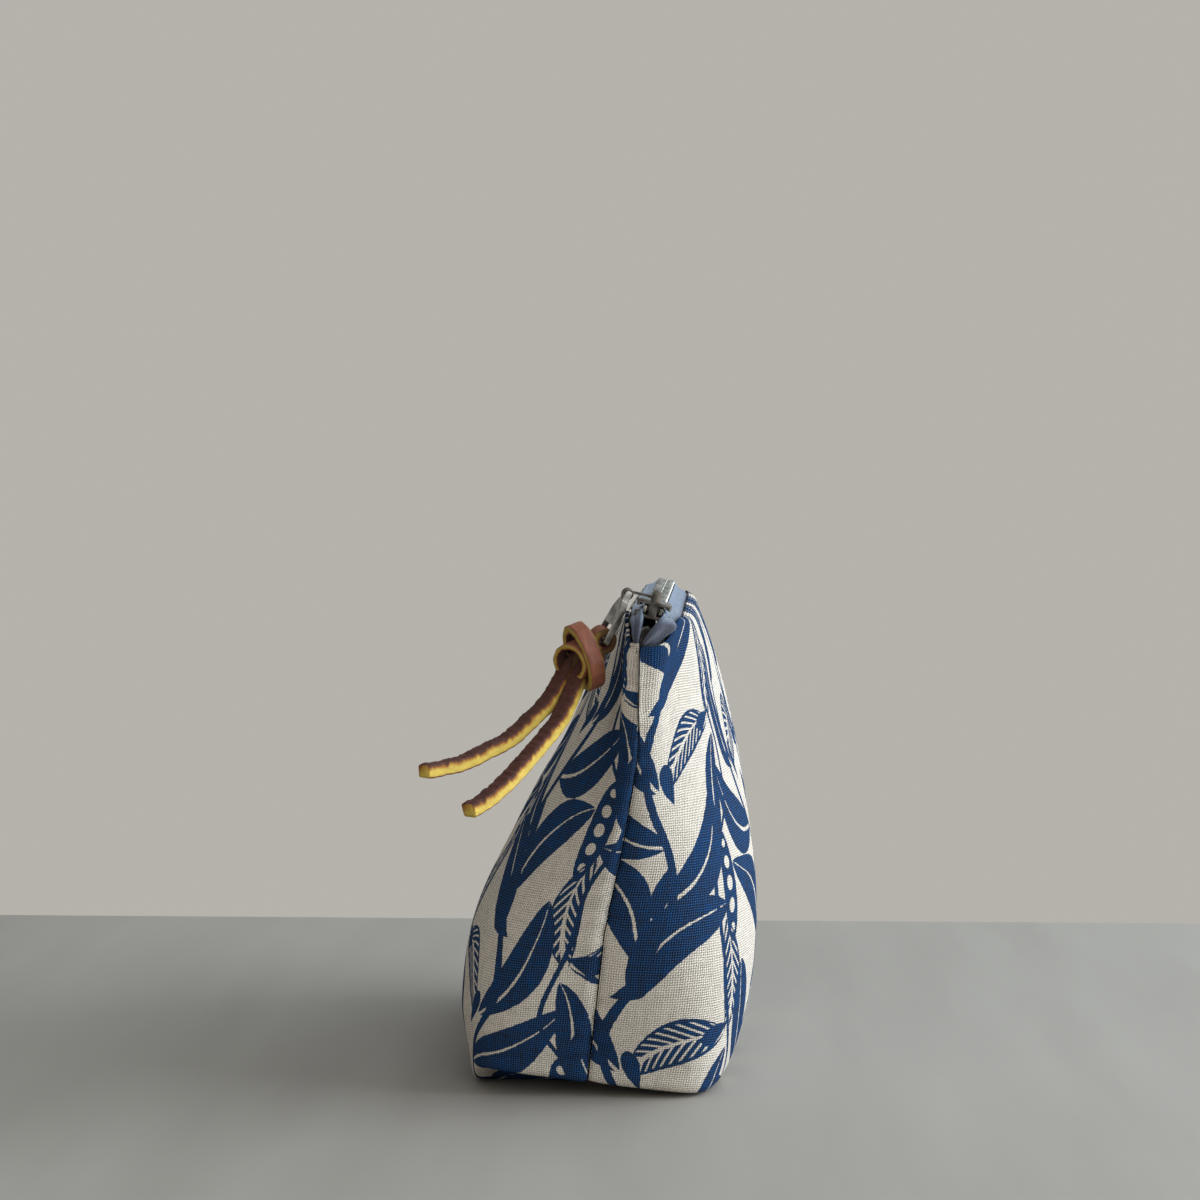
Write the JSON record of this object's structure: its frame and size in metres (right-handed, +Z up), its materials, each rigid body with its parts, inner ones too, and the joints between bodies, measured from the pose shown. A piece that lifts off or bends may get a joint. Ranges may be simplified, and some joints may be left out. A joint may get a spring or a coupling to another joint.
{
  "type": "linen zip pouch",
  "caption": "Small printed linen pouch with a boxed base, a metal zip along its top, and a knotted leather lace on the zip pull",
  "frame": {"origin": "middle of the pouch's footprint, on the surface that it stands on, measured without the lace", "axes": "+X along the zip towards its closed end, where the slider is; -Y the side that the pull hangs over; +Z up"},
  "size_m": [0.235, 0.0904, 0.1443],
  "materials": {
    "linen": "matte coarse plain weave, printed in dark blue",
    "lining": "matte plain weave",
    "tape": "matte fine weave",
    "tooth_metal": "satin",
    "dark_metal": "satin, dark",
    "leather": "smooth grain outside, rough inside, pale cut edges"
  },
  "bodies": {
    "pouch": {"front_panel": "linen", "back_panel": "linen", "front_lining": "lining", "back_lining": "lining", "front_tape": "tape", "back_tape": "tape", "front_teeth": "tooth_metal", "back_teeth": "tooth_metal", "front_top_stop": "tooth_metal", "back_top_stop": "tooth_metal", "bottom_stop": "tooth_metal"},
    "slider": {"slider": "dark_metal"},
    "link": {"pull_link": "dark_metal"},
    "pull": {"pull_tab": "dark_metal", "leather_lace": "leather"}
  },
  "joints": [
    {"name": "zip_slide", "type": "slide", "parent": "pouch", "child": "slider", "axis": [1, 0, 0], "range_m": [-0.174, 0], "deforming": ["front_teeth", "back_teeth", "leather_lace"]},
    {"name": "link_hinge", "type": "hinge", "parent": "slider", "child": "link", "pos_m": [0.0915, 0.01545, 0.14239], "axis": [-1, 0, 0], "range_deg": [0, 180], "deforming": ["leather_lace"]},
    {"name": "pull_hinge", "type": "hinge", "parent": "link", "child": "pull", "pos_m": [0.0915, 0.00739, 0.14261], "axis": [-1, 0, 0], "range_deg": [-2, 110], "deforming": ["leather_lace"]}
  ]
}
